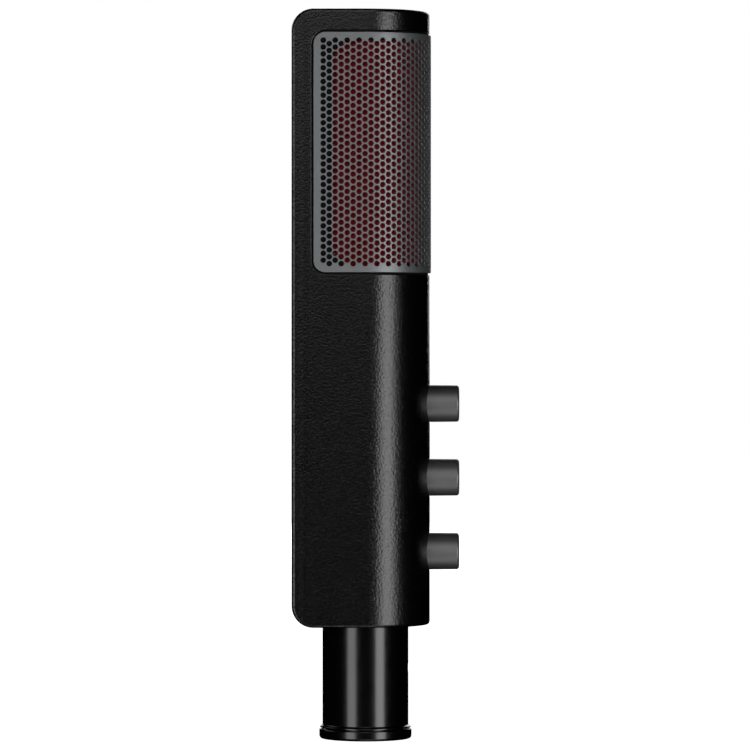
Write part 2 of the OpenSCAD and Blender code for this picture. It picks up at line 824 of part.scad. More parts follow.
module contact_pins() {
    color("#c9a648") for (a = pin_angles) rotate([0, 0, a]) translate([pin_circle_r, 0, 0])
        rotate_extrude() polygon([
            [0, pin_z[0]], [pin_d / 2 - 0.7, pin_z[0]], [pin_d / 2, pin_z[0] + 1.1],
            [pin_d / 2, pin_z[1]], [0, pin_z[1]]]);
}

module set_screw() {
    color("#2a2a2c") difference() {
        rod_x(set_screw_r, 8, stem_r - 0.15, 0, set_screw_z);
        translate([stem_r - 1.6, 0, set_screw_z]) rotate([0, 90, 0]) cylinder(r = 0.85, h = 3, $fn = 6);
    }
}

// ---- Leads ----

module signal_lead() {
    color("#2c2c2e") wire([
        [0, 0, pin_z[1] + 1.2], [0, 0, 45.2], [-3.9, 0, 48.2], [-3.9, 0, 60],
        [-9.5, 0, 67], [main_board_x + board_t + 0.02, 0, 67]], 1);
}

// The ribbon's two leads, down its front and in through the top of the can
module ribbon_lead(y, z_clamp) {
    wire([
        [clamp_t + 0.05, y, z_clamp], [lead_x, y, z_clamp], [lead_x, y, lead_low_z],
        [0, y, lead_low_z], [0, y, trafo_z + 18.5]], 0.35);
}

module ribbon_leads() {
    color("#a03028") ribbon_lead(lead_y, upper_clamp_z + clamp_h / 2);
    color("#e8e8e8") ribbon_lead(-lead_y, lower_clamp_z + clamp_h / 2);
}

main_shell();
rear_cover();
rear_cover_screws();
grille();
windscreen_liner();
grille_frame();
chassis_frame();
chassis_screws();
motor_yoke();
magnet(-1);  // magnet_left
magnet(1);  // magnet_right
pole_piece(-1);  // pole_piece_left
pole_piece(1);  // pole_piece_right
ribbon();
ribbon_clamp(upper_clamp_z);  // upper_clamp
ribbon_clamp(lower_clamp_z);  // lower_clamp
clamp_screws();
clamp_insulators();
damping_pad();
rubber_mounts();
mount_screws();
transformer_bracket();
transformer_can();
transformer_core();
transformer_screws();
control_bracket();
bracket_screws();
control_board();
control_lead();
pot(controls[2]);  // gain_pot
pot(controls[1]);  // phones_pot
pot(controls[0]);  // mix_pot
pot_washers();
pot_nuts();
shaft(controls[2]);  // gain_shaft
shaft(controls[1]);  // phones_shaft
shaft(controls[0]);  // mix_shaft
knob(controls[2]);  // gain_knob
knob(controls[1]);  // phones_knob
knob(controls[0]);  // mix_knob
main_board();
board_components();
board_standoffs();
board_screws();
io_board();
io_standoffs();
usb_socket();
headphone_jack();
jack_ring();
stem_tube();
stem_nut();
base_ring();
connector_insert();
contact_pins();
set_screw();
signal_lead();
ribbon_leads();
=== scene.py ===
# A side-address ribbon microphone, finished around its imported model, piece by piece as it is
# assembled.
import math

import bmesh
import bpy
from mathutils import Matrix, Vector


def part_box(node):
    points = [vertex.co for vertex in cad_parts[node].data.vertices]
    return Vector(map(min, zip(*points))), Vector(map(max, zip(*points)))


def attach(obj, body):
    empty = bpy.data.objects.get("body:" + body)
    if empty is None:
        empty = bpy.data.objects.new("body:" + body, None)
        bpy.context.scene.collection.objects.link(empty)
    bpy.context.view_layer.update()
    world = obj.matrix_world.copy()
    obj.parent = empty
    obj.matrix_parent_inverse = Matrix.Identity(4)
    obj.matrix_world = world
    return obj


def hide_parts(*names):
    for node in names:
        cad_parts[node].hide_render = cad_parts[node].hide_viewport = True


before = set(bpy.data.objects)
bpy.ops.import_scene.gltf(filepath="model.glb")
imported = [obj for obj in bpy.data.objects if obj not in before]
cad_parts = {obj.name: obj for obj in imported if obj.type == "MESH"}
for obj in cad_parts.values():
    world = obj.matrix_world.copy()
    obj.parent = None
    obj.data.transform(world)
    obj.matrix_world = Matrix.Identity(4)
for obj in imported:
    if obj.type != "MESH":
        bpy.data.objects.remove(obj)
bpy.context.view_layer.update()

# ---- Main shell ----
# The housing: one aluminium casting with a flat back, flat sides and a round front, powder coated
# satin black. The grille's window, the three knob holes, the stem's seat and the rear opening are
# machined into it, and the window, the knob holes and the rear opening each get a slightly eased
# edge.
MM = 0.001
MICRON = 1e-6
shell_low, shell_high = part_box("main_shell")
body_r = shell_high.y
body_back = -shell_low.x
grille_low, grille_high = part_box("grille")
grille_gap = 0.55 * MM
knob_names = ["gain", "phones", "mix"]
knob_z = {name: sum(c.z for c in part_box(name + "_knob")) / 2 for name in knob_names}


def nothing_selected():
    bpy.ops.object.select_all(action="DESELECT")


def take(*pieces):
    """Selects some pieces and nothing else, with the first of them active."""
    nothing_selected()
    for piece in pieces:
        piece.select_set(True)
    bpy.context.view_layer.objects.active = pieces[0]


def settle(piece, name):
    """Puts a new piece's place, turn and scale into its mesh, and names it."""
    take(piece)
    bpy.ops.object.transform_apply(location=True, rotation=True, scale=True)
    piece.name = name
    piece.data.name = name
    return piece


def shape(piece):
    """Opens a piece in edit mode with all of it selected."""
    take(piece)
    bpy.ops.object.mode_set(mode="EDIT")
    bpy.ops.mesh.select_all(action="SELECT")


def shaped():
    """Leaves edit mode."""
    bpy.ops.object.mode_set(mode="OBJECT")


def pick(kind, test):
    """In edit mode, selects only the vertices, edges or faces that pass a test."""
    bpy.ops.mesh.select_mode(type=kind)
    bpy.ops.mesh.select_all(action="DESELECT")
    data = bpy.context.object.data
    mesh = bmesh.from_edit_mesh(data)
    for element in {"VERT": mesh.verts, "EDGE": mesh.edges, "FACE": mesh.faces}[kind]:
        if test(element):
            element.select_set(True)
    bmesh.update_edit_mesh(data)


def sharp(edge, degrees=50):
    """True where two faces meet at more than this angle."""
    return edge.calc_face_angle(0) > math.radians(degrees)


def round_edges(offset, segments, where=lambda vertex: True, degrees=50):
    """In edit mode, rounds the sharp edges whose two ends both pass a test on their place."""
    pick("EDGE", lambda e: sharp(e, degrees) and all(map(where, e.verts)))
    bpy.ops.mesh.bevel(offset=offset, segments=segments, affect="EDGES")


def modify(piece, kind, **settings):
    """Adds a modifier to a piece and applies it."""
    bpy.context.view_layer.objects.active = piece
    modifier = piece.modifiers.new("step", kind)
    for key, value in settings.items():
        setattr(modifier, key, value)
    bpy.ops.object.modifier_apply(modifier=modifier.name)


def cut(piece, *tools, operation="DIFFERENCE"):
    """Cuts tools out of a piece, one after another, and throws them away."""
    for tool in tools:
        modify(piece, "BOOLEAN", operation=operation, solver="EXACT", object=tool)
        bpy.data.objects.remove(tool)


def block(low, high, corner=0.0, along=0, steps=8, name="block"):
    """A block between two corners whose four edges along one axis may be rounded."""
    low, high = Vector(low), Vector(high)
    nothing_selected()
    bpy.ops.mesh.primitive_cube_add(size=1, location=(low + high) / 2)
    piece = bpy.context.object
    piece.scale = high - low
    settle(piece, name)
    if corner:
        shape(piece)
        pick("EDGE", lambda e: abs((e.verts[0].co - e.verts[1].co).normalized()[along]) > 0.9)
        bpy.ops.mesh.bevel(offset=corner, segments=steps, affect="EDGES")
        shaped()
    return piece


def rod(radius, start, end, steps=48, name="rod"):
    """A straight round bar between two points."""
    start, end = Vector(start), Vector(end)
    nothing_selected()
    bpy.ops.mesh.primitive_cylinder_add(
        vertices=steps, radius=radius, depth=(end - start).length, location=(start + end) / 2)
    piece = bpy.context.object
    piece.rotation_mode = "QUATERNION"
    piece.rotation_quaternion = (end - start).to_track_quat("Z", "Y")
    return settle(piece, name)


def d_block(radius, back, bottom, top, corner, edge, steps=96, crown=0.0):
    """The D-shaped form: half a cylinder drawn out to a flat back, with rounded corners and rims.

    A crown draws the flat sides in towards the back, each loop a little more than the last."""
    nothing_selected()
    bpy.ops.mesh.primitive_cylinder_add(
        vertices=2 * steps, radius=radius, depth=top - bottom, location=(0, 0, (top + bottom) / 2))
    piece = settle(bpy.context.object, "d_block")
    shape(piece)
    bpy.ops.mesh.bisect(plane_co=(0, 0, 0), plane_no=(1, 0, 0), use_fill=True, clear_inner=True)
    pick("FACE", lambda f: f.normal.x < -0.9)
    bpy.ops.mesh.extrude_region_move(TRANSFORM_OT_translate={"value": (-back, 0, 0)})
    pick("EDGE", lambda e: all(v.co.x < -back + MICRON for v in e.verts)
         and abs(e.verts[0].co.z - e.verts[1].co.z) < MICRON)
    bpy.ops.mesh.bevel(offset=corner, segments=20, affect="EDGES")
    if crown:
        loops, first_loop, loop_step = 8, 4.6 * MM, 0.45 * MM
        for step in range(loops):
            loop_x = -back + first_loop - loop_step * step
            share = (step + 1) / sum(range(loops + 1))
            bpy.ops.mesh.select_all(action="SELECT")
            bpy.ops.mesh.bisect(plane_co=(loop_x, 0, 0), plane_no=(1, 0, 0))
            pick("VERT", lambda v: v.co.x < loop_x - 10 * MICRON)
            bpy.ops.transform.resize(value=(1, 1 - share * crown / radius, 1),
                                     center_override=(0, 0, 0))
    round_edges(edge, 5)
    shaped()
    return piece


def finish_piece(piece, name, body, finish, slot, *nodes):
    """Gives a finished piece its name, material and body, and hides the CAD nodes that it stands
    for.
    """
    piece.name = name
    piece.data.name = name
    piece.data.materials.clear()
    piece.data.materials.append(finish)
    take(piece)
    bpy.ops.object.shade_smooth_by_angle(angle=math.radians(35))
    modify(piece, "WEIGHTED_NORMAL", keep_sharp=True)
    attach(piece, body)
    if nodes:
        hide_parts(*nodes)
    return piece


class Field:
    """A value that varies over a surface; arithmetic on it adds Math nodes to its material."""

    def __init__(self, tree, socket):
        self.tree = tree
        self.socket = socket

    def node(self, kind, settings=None, inputs=None, output=0):
        """Adds a node, sets it up, feeds its sockets and returns one of its outputs."""
        made = self.tree.nodes.new(kind)
        for key, value in (settings or {}).items():
            setattr(made, key, value)
        for key, value in (inputs or {}).items():
            if isinstance(value, Field):
                self.tree.links.new(value.socket, made.inputs[key])
            else:
                made.inputs[key].default_value = value
        return Field(self.tree, made.outputs[output])

    def maths(self, operation, first, second):
        return self.node("ShaderNodeMath", {"operation": operation}, {0: first, 1: second})

    def sine(self):
        return self.node("ShaderNodeMath", {"operation": "SINE"}, {0: self})

    def __add__(self, other):
        return self.maths("ADD", self, other)

    def __sub__(self, other):
        return self.maths("SUBTRACT", self, other)

    def __mul__(self, other):
        return self.maths("MULTIPLY", self, other)

    def __rsub__(self, other):
        return self.maths("SUBTRACT", other, self)

    __radd__ = __add__
    __rmul__ = __mul__


def new_finish(name, colour, roughness, metallic=0.0):
    """A new material and the field of its points' places, in metres."""
    finish = bpy.data.materials.new(name)
    finish.use_nodes = True
    tree = finish.node_tree
    shader = tree.nodes["Principled BSDF"]
    shader.inputs["Base Color"].default_value = (*colour, 1)
    shader.inputs["Roughness"].default_value = roughness
    shader.inputs["Metallic"].default_value = metallic
    coordinates = tree.nodes.new("ShaderNodeTexCoord")
    return finish, Field(tree, coordinates.outputs["Object"])


def drive(finish, **fields):
    """Links fields to the shader's sockets, named in lower case with underscores."""
    shader = finish.node_tree.nodes["Principled BSDF"]
    for key, field in fields.items():
        socket = shader.inputs[key.replace("_", " ").title()]
        finish.node_tree.links.new(field.socket, socket)


def noise(place, size, detail=2.0, distortion=0.0):
    """Soft noise whose patches are about this size, in metres."""
    return place.node("ShaderNodeTexNoise", None, {
        "Vector": place, "Scale": 1 / size, "Detail": detail, "Distortion": distortion})


def mixed(mask, first, second):
    """One colour where the mask is 0 and another where it is 1."""
    return mask.node("ShaderNodeMix", {"data_type": "RGBA"}, {
        0: mask, 6: (*first, 1), 7: (*second, 1)}, output=2)


def bumped(height, depth, strength=1.0):
    """A normal for a surface whose height field is this deep, in metres."""
    return height.node("ShaderNodeBump", None, {
        "Height": height, "Distance": depth, "Strength": strength})


def powder_coat(name, dark, light, roughness, grain):
    """Baked powder paint: a close pebbled grain, and faint cloudiness in tone and gloss."""
    finish, place = new_finish(name, dark, roughness)
    pebbles = noise(place, grain, detail=2)
    cloud = noise(place, 6 * MM, detail=3)
    tone = cloud * 0.6 + pebbles * 0.4
    drive(finish,
          base_color=mixed(tone, dark, light),
          roughness=roughness - 0.085 + pebbles * 0.13 + cloud * 0.04,
          normal=bumped(pebbles, 0.1 * MM))
    return finish


shell_coat = powder_coat("black_powder_coat", (0.0003, 0.0003, 0.0004), (0.0007, 0.0007, 0.0009),
                         0.24, 0.6 * MM)
shell_wall = 1.8 * MM
shell_plate = 2.5 * MM
shell_corner = 6.4 * MM
shell_edge = 1.0 * MM
crown = 0.06 * MM
cavity_corner = 4 * MM
shell = d_block(body_r, body_back, shell_low.z, shell_high.z, shell_corner, shell_edge, crown=crown)
cavity = d_block(body_r - shell_wall, body_back - shell_plate, shell_low.z + shell_plate,
                 shell_high.z - shell_plate, cavity_corner, shell_edge, steps=48)
reach = 30 * MM
window_low = Vector((grille_low.x - grille_gap, -reach, grille_low.z - grille_gap))
window_high = Vector((reach, reach, grille_high.z + grille_gap))
window_corner = 4.35 * MM
cover_low, cover_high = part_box("rear_cover")
cover_gap = 0.2 * MM
cover_corner = 3 * MM
opening_corner = 2 * MM
opening_front = -18 * MM
access_half, access_z = 9.2 * MM, (64 * MM, 196 * MM)
socket_half, socket_z = 13 * MM, (43 * MM, 52 * MM)
stem_hole_r = 11.1 * MM
stem_hole_z = (30 * MM, 38 * MM)
cut(shell, cavity,
    block(window_low, window_high, corner=window_corner, along=1, steps=12),
    block((cover_low.x - MM, cover_low.y - cover_gap, cover_low.z - cover_gap),
          (cover_high.x, cover_high.y + cover_gap, cover_high.z + cover_gap),
          corner=cover_corner + cover_gap, steps=10),
    block((cover_high.x - MM, -access_half, access_z[0]), (opening_front, access_half, access_z[1]),
          corner=opening_corner),
    block((cover_high.x - MM, -socket_half, socket_z[0]), (opening_front, socket_half, socket_z[1]),
          corner=opening_corner),
    rod(stem_hole_r, (0, 0, stem_hole_z[0]), (0, 0, stem_hole_z[1]), steps=96))
knob_gap = 0.3 * MM
knob_hole_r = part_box("gain_knob")[1].y + knob_gap
front_x = 10 * MM
for z in knob_z.values():
    cut(shell, rod(knob_hole_r, (front_x, 0, z), (reach, 0, z), steps=96))


def on_outside(vertex):
    """True for a vertex on the shell's own outer walls, which the crown draws in at the back."""
    x, y, _ = vertex.co
    if x > 0:
        return math.hypot(x, y) > body_r - 0.02 * MM
    return abs(y) > body_r - 0.13 * MM


# The window's edge, the rear opening's edge and the knob holes' edges, in that order.
close = 0.01 * MM
window_foot = 130 * MM
knob_holes_top = 110 * MM
shape(shell)
bpy.ops.mesh.remove_doubles(threshold=close)
round_edges(0.3 * MM, 3, lambda v: on_outside(v) and v.co.z > window_foot)
round_edges(0.2 * MM, 2, lambda v: v.co.x < shell_low.x + close)
round_edges(0.15 * MM, 2,
            lambda v: on_outside(v) and v.co.z < knob_holes_top and v.co.x > front_x)
shaped()
finish_piece(shell, "shell", "housing", shell_coat, "shell_paint", "main_shell")

# ---- Rear cover ----
# A flat aluminium plate let into the back, powder coated with the shell. Four countersunk holes
# take its screws, and two openings at the foot let the sockets through.
cover = block(cover_low, cover_high, corner=cover_corner, steps=10)
screw_hole_r = 1.3 * MM
sink_r = 3.0 * MM
sink_depth = 1.7 * MM
sink_x = cover_low.x + 0.25 * MM
ring_hole_r = 4.25 * MM
port_gap = 0.3 * MM
port_corner = 1.8 * MM
screw_places = [(side * 11 * MM, z) for side in (-1, 1) for z in (57 * MM, 202.8 * MM)]
jack_low, jack_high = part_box("headphone_jack")
jack_y, jack_z = (jack_low.y + jack_high.y) / 2, (jack_low.z + jack_high.z) / 2
usb_low, usb_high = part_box("usb_socket")
for y, z in screw_places:
    cut(cover, rod(screw_hole_r, (-reach, y, z), (0, y, z), steps=32))
    nothing_selected()
    bpy.ops.mesh.primitive_cone_add(
        vertices=48, radius1=sink_r, radius2=screw_hole_r, depth=sink_depth,
        location=(sink_x, y, z), rotation=(0, math.pi / 2, 0))
    cut(cover, settle(bpy.context.object, "countersink"))
cut(cover,
    rod(ring_hole_r, (-reach, jack_y, jack_z), (0, jack_y, jack_z), steps=64),
    block((-reach, usb_low.y - port_gap, usb_low.z - port_gap),
          (0, usb_high.y + port_gap, usb_high.z + port_gap), corner=port_corner))
shape(cover)
round_edges(0.18 * MM, 3, lambda v: v.co.x < cover_low.x + close, degrees=30)
shaped()
finish_piece(cover, "cover_plate", "housing", shell_coat, "shell_paint", "rear_cover")

# ---- Rear cover screws ----
# Four small countersunk steel screws with a cross recess, blackened, flush with the plate.
def brushed_metal(name, colour, roughness, along=2, metallic=1.0, size=0.12 * MM):
    """Machined or rolled metal: fine lines along one axis, and a faint patchiness in its gloss."""
    finish, place = new_finish(name, colour, roughness, metallic)
    stretch = [1.0, 1.0, 1.0]
    stretch[along] = 0.04
    lines = place.node("ShaderNodeTexNoise", None, {
        "Vector": place.node("ShaderNodeMapping", None, {"Vector": place, "Scale": stretch}),
        "Scale": 1 / size, "Detail": 3.0})
    patches = noise(place, 4 * MM)
    worn = tuple(0.8 * c for c in colour)
    drive(finish,
          base_color=mixed(patches, worn, colour),
          roughness=roughness - 0.08 + lines * 0.1 + patches * 0.06,
          normal=bumped(lines, 0.002 * MM, 0.6))
    return finish


black_oxide = brushed_metal("black_oxide_steel", (0.03, 0.03, 0.032), 0.42, along=0)
screws_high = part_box("rear_cover_screws")[1]
shank_r = 1.2 * MM
shank_x = cover_low.x + 0.9 * MM
head_r = 2.33 * MM
head_depth = 1.08 * MM
head_x = cover_low.x + 0.57 * MM
recess_x = cover_low.x + 0.7 * MM
recess_arm = 1.4 * MM
recess_half = 0.27 * MM
screws = []
for y, z in screw_places:
    shank = rod(shank_r, (shank_x, y, z), (screws_high.x, y, z), steps=32)
    nothing_selected()
    bpy.ops.mesh.primitive_cone_add(
        vertices=48, radius1=head_r, radius2=shank_r, depth=head_depth,
        location=(head_x, y, z), rotation=(0, math.pi / 2, 0))
    head = settle(bpy.context.object, "head")
    for half_y, half_z in ((recess_arm, recess_half), (recess_half, recess_arm)):
        cut(head, block((-reach, y - half_y, z - half_z), (recess_x, y + half_y, z + half_z)))
    cut(head, shank, operation="UNION")
    shape(head)
    round_edges(0.06 * MM, 2, lambda v: v.co.x < cover_low.x + 0.06 * MM, degrees=30)
    shaped()
    screws.append(head)
take(*screws)
bpy.ops.object.join()
finish_piece(screws[0], "cover_screws", "housing", black_oxide, "screw_black", "rear_cover_screws")

# ---- Grille ----
# A perforated steel sheet: rows of round holes on a staggered pitch with a plain rim, bent into a U
# round the front and both sides and painted satin grey. It stands a little proud of the shell.
sheet_t = 0.8 * MM
hole_r = 0.82 * MM
column_pitch = 1.749 * MM
hole_pitch = 2.01 * MM
columns = 50
holes = 33
grille_r = grille_high.y
grille_half = grille_r * math.pi / 2 - grille_low.x
first_hole_z = 205.85 * MM
hole_sides = 14
hole_edge = 0.05 * MM
rim_edge = 0.14 * MM
rim_corner = 3.4 * MM


def wrap(piece, radius):
    """Bends a flat sheet round the front: x runs along it, y is height and z stands outwards."""
    quarter = radius * math.pi / 2
    for vertex in piece.data.vertices:
        along, height, out = vertex.co
        r = radius + out
        if abs(along) < quarter:
            angle = along / radius
            vertex.co = (r * math.cos(angle), r * math.sin(angle), height)
        else:
            vertex.co = (quarter - abs(along), math.copysign(r, along), height)
    piece.data.update()


def repeat(piece, count, step):
    """Repeats a piece in a row and welds the copies together."""
    modify(piece, "ARRAY", count=count, use_relative_offset=False, use_constant_offset=True,
           constant_offset_displace=step, use_merge_vertices=True, merge_threshold=MICRON)


nothing_selected()
bpy.ops.mesh.primitive_grid_add(x_subdivisions=3, y_subdivisions=4, size=1)
sheet = bpy.context.object
sheet.scale = (column_pitch, hole_pitch, 1)
settle(sheet, "sheet")
shape(sheet)
pick("VERT", lambda v: not v.is_boundary)
bpy.ops.mesh.delete(type="VERT")
bpy.ops.mesh.primitive_circle_add(vertices=hole_sides, radius=hole_r, rotation=(0, 0, math.pi / 2))
bpy.ops.mesh.select_all(action="SELECT")
bpy.ops.mesh.bridge_edge_loops()
bpy.ops.mesh.select_all(action="SELECT")
bpy.ops.transform.translate(value=(-(columns - 1) / 2 * column_pitch, first_hole_z, 0))
shaped()
repeat(sheet, holes, (0, -hole_pitch, 0))
repeat(sheet, columns // 2, (2 * column_pitch, 0, 0))
take(sheet)
bpy.ops.object.duplicate()
odd_columns = bpy.context.object
odd_columns.location = (column_pitch, -hole_pitch / 2, 0)
settle(odd_columns, "odd_columns")
take(sheet, odd_columns)
bpy.ops.object.join()
shape(sheet)
bpy.ops.mesh.remove_doubles(threshold=MICRON)
pattern_top = first_hole_z + hole_pitch / 2
pattern_bottom = first_hole_z - (holes - 0.5) * hole_pitch - hole_pitch / 2
pattern_half = columns * column_pitch / 2
for level, step in ((pattern_top - hole_pitch / 2, 1), (pattern_bottom + hole_pitch / 2, -1)):
    pick("EDGE", lambda e: e.is_boundary and all(abs(v.co.y - level) < MICRON for v in e.verts))
    for _ in range(2):
        bpy.ops.mesh.extrude_region_move(
            TRANSFORM_OT_translate={"value": (0, step * hole_pitch / 4, 0)})
bpy.ops.mesh.select_all(action="SELECT")
bpy.ops.mesh.remove_doubles(threshold=MICRON)
shaped()


def outline(half, bottom, top, corner, along_cuts, up_cuts):
    """The edge of a flat sheet: a rectangle with round corners and finely divided sides."""
    long_side = 20 * MM
    nothing_selected()
    bpy.ops.mesh.primitive_plane_add(size=1, location=(0, (bottom + top) / 2, 0))
    piece = bpy.context.object
    piece.scale = (2 * half, top - bottom, 1)
    settle(piece, "outline")
    shape(piece)
    bpy.ops.mesh.bevel(offset=corner, segments=8, affect="VERTICES")
    bpy.ops.mesh.select_all(action="SELECT")
    bpy.ops.mesh.delete(type="ONLY_FACE")
    pick("EDGE", lambda e: abs(e.verts[0].co.x - e.verts[1].co.x) > long_side)
    bpy.ops.mesh.subdivide(number_cuts=along_cuts)
    pick("EDGE", lambda e: abs(e.verts[0].co.y - e.verts[1].co.y) > long_side)
    bpy.ops.mesh.subdivide(number_cuts=up_cuts)
    shaped()
    return piece


rim = outline(grille_half, grille_low.z, grille_high.z, rim_corner, along_cuts=119, up_cuts=63)
take(sheet, rim)
bpy.ops.object.join()


def on_pattern_edge(vertex):
    x, y, _ = vertex.co
    return (abs(abs(x) - pattern_half) < MICRON or abs(y - pattern_top) < MICRON
            or abs(y - pattern_bottom) < MICRON)


def in_rim(vertex):
    x, y, _ = vertex.co
    return (abs(x) > pattern_half + MICRON or y > pattern_top + MICRON
            or y < pattern_bottom - MICRON)


shape(sheet)
pick("EDGE", lambda e: e.is_wire or (e.is_boundary and all(map(on_pattern_edge, e.verts))))
bpy.ops.mesh.fill(use_beauty=True)
pick("FACE", lambda f: f.normal.z < 0)
bpy.ops.mesh.flip_normals()
shaped()
modify(sheet, "SOLIDIFY", thickness=sheet_t, offset=-1.0)
shape(sheet)
pick("EDGE", lambda e: sharp(e) and all(abs(v.co.z) < MICRON and not in_rim(v) for v in e.verts))
bpy.ops.mesh.bevel(offset=hole_edge, segments=1, affect="EDGES")
pick("EDGE", lambda e: sharp(e) and all(abs(v.co.z) < MICRON and in_rim(v) for v in e.verts))
bpy.ops.mesh.bevel(offset=rim_edge, segments=2, affect="EDGES")
shaped()
wrap(sheet, grille_r)


def satin_paint(name, dark, light, roughness, metallic, grain=0.15 * MM):
    """Thin satin paint with metal flake in it: an even tone with the finest grain."""
    finish, place = new_finish(name, dark, roughness, metallic)
    flake = noise(place, grain, detail=1)
    cloud = noise(place, 5 * MM, detail=2)
    drive(finish,
          base_color=mixed(flake * 0.5 + cloud * 0.5, dark, light),
          roughness=roughness - 0.04 + flake * 0.05 + cloud * 0.03,
          normal=bumped(flake, 0.003 * MM, 0.7))
    return finish


grille_paint = satin_paint("grey_satin_paint", (0.158, 0.166, 0.172), (0.222, 0.230, 0.239),
                           0.5, 0.85)
finish_piece(sheet, "perforated_grille", "housing", grille_paint, "grille_paint", "grille")

# ---- Windscreen liner ----
# Deep red acoustic cloth over a thin foam pad, bonded into the frame's window just behind the
# perforations, with round corners and softly rolled edges.
liner_low, liner_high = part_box("windscreen_liner")
liner_r = liner_high.y
liner_t = 1.3 * MM
liner_set = 0.7 * MM
liner_corner = 6.3 * MM
liner_spare = 2 * MM
nothing_selected()
bpy.ops.mesh.primitive_grid_add(x_subdivisions=120, y_subdivisions=60, size=1,
                                location=(0, (liner_low.z + liner_high.z) / 2, 0))
liner = bpy.context.object
liner_length = 2 * (liner_r * math.pi / 2 - liner_low.x)
liner.scale = (liner_length + 2 * liner_spare, liner_high.z - liner_low.z + 2 * liner_spare, 1)
settle(liner, "liner")
modify(liner, "SOLIDIFY", thickness=liner_t, offset=-1.0)
wrap(liner, liner_r - liner_set)
cut(liner, block((liner_low.x, -reach, liner_low.z), (reach, reach, liner_high.z),
                 corner=liner_corner, along=1, steps=12), operation="INTERSECT")
shape(liner)
round_edges(0.15 * MM, 2)
shaped()


def cloth(name, dark, light, thread):
    """Fine knitted cloth: crossing threads in relief, with painted shade between them and painted
    light on their crowns, softly mottled.
    """
    finish, place = new_finish(name, dark, 0.92)
    shader = finish.node_tree.nodes["Principled BSDF"]
    shader.inputs["Sheen Weight"].default_value = 0.06
    shader.inputs["Sheen Roughness"].default_value = 0.5
    x, y, z = (place.node("ShaderNodeSeparateXYZ", None, {"Vector": place}, output=i)
               for i in range(3))
    rate = 2 * math.pi / thread
    courses, wales = z * rate, x * rate - y * rate
    weave = courses.sine() * wales.sine() * 0.5 + 0.5
    mottle = noise(place, 1.5 * MM, detail=4)
    height = weave * 0.7 + mottle * 0.3
    # The colour follows the threads' relief: painted shade in the hollows and painted light on the
    # crowns, with random mottling over both.
    drive(finish, base_color=mixed(height, dark, light), normal=bumped(height, 0.06 * MM))
    return finish


# The darker red is painted shade between the threads, and the lighter red is painted light on their
# crowns.
liner_cloth = cloth("red_acoustic_cloth", (0.135, 0.0025, 0.004), (0.33, 0.007, 0.011),
                    thread=0.45 * MM)
finish_piece(liner, "red_liner", "housing", liner_cloth, "liner_red", "windscreen_liner")

# ---- Grille frame ----
# The black moulding inside the window that carries the grille and the liner, seen in the gap round
# the grille and through the first holes.
def moulded(name, colour, roughness, grain=0.3 * MM):
    """Moulded plastic or rubber: a plain tone with a faint spark-eroded texture."""
    finish, place = new_finish(name, colour, roughness)
    texture = noise(place, grain, detail=2)
    cloud = noise(place, 5 * MM, detail=2)
    lighter = tuple(1.4 * c + 0.001 for c in colour)
    drive(finish,
          base_color=mixed(cloud, colour, lighter),
          roughness=roughness - 0.04 + texture * 0.08,
          normal=bumped(texture, 0.008 * MM))
    return finish


def dress(finish, *nodes):
    """Puts one finish on CAD nodes that are kept as they are."""
    for node in nodes:
        part = bpy.data.objects[node]
        for index in range(max(1, len(part.data.materials))):
            if index < len(part.data.materials):
                part.data.materials[index] = finish
            else:
                part.data.materials.append(finish)


black_plastic = moulded("black_plastic", (0.004, 0.004, 0.0045), 0.6)
frame_black = moulded("matt_black_frame", (0.001, 0.001, 0.001), 0.85)
frame_black.node_tree.nodes["Principled BSDF"].inputs["Specular IOR Level"].default_value = 0.2
dress(frame_black, "grille_frame")

# ---- Control knobs ----
# Three turned knobs for gain, phones and mix: solid aluminium, bead blasted and anodised dark grey,
# with a rounded end edge. A milled slot in each face, filled with pale paint, marks its setting.
knob_low, knob_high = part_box("gain_knob")
knob_length = knob_high.x - knob_low.x
knob_r = knob_high.y
knob_end_r = 5.4 * MM
knob_round = 0.8 * MM
slot_half = 0.4 * MM
slot_floor = knob_high.x - 0.35 * MM
slot_from, slot_to = 1.2 * MM, 4.4 * MM
shaft_r = 3.0 * MM
shaft_bore_end = 24.6 * MM


def turn(outline_points, name, steps=96):
    """Spins an outline of (radius, height) points round the Z axis into a turned piece."""
    nothing_selected()
    bpy.ops.mesh.primitive_plane_add(size=MM)
    piece = bpy.context.object
    shape(piece)
    bpy.ops.mesh.select_mode(type="VERT")
    bpy.ops.mesh.merge(type="CENTER")
    r, z = outline_points[0]
    bpy.ops.transform.translate(value=(r, 0, z))
    for (r0, z0), (r1, z1) in zip(outline_points, outline_points[1:]):
        bpy.ops.mesh.extrude_vertices_move(TRANSFORM_OT_translate={"value": (r1 - r0, 0, z1 - z0)})
    bpy.ops.mesh.select_all(action="SELECT")
    bpy.ops.mesh.spin(steps=steps, angle=2 * math.pi, center=(0, 0, 0), axis=(0, 0, 1))
    bpy.ops.mesh.select_all(action="SELECT")
    bpy.ops.mesh.remove_doubles(threshold=0.1 * MICRON)
    bpy.ops.mesh.dissolve_degenerate(threshold=0.01 * MICRON)
    bpy.ops.mesh.select_all(action="SELECT")
    bpy.ops.mesh.normals_make_consistent(inside=False)
    shaped()
    return settle(piece, name)


def arc(centre_r, centre_z, radius, start, end, steps=6):
    """Points of a round edge in a turned outline, from one angle to another, in degrees."""
    angles = [math.radians(start + (end - start) * i / steps) for i in range(steps + 1)]
    return [(centre_r + radius * math.cos(a), centre_z + radius * math.sin(a)) for a in angles]


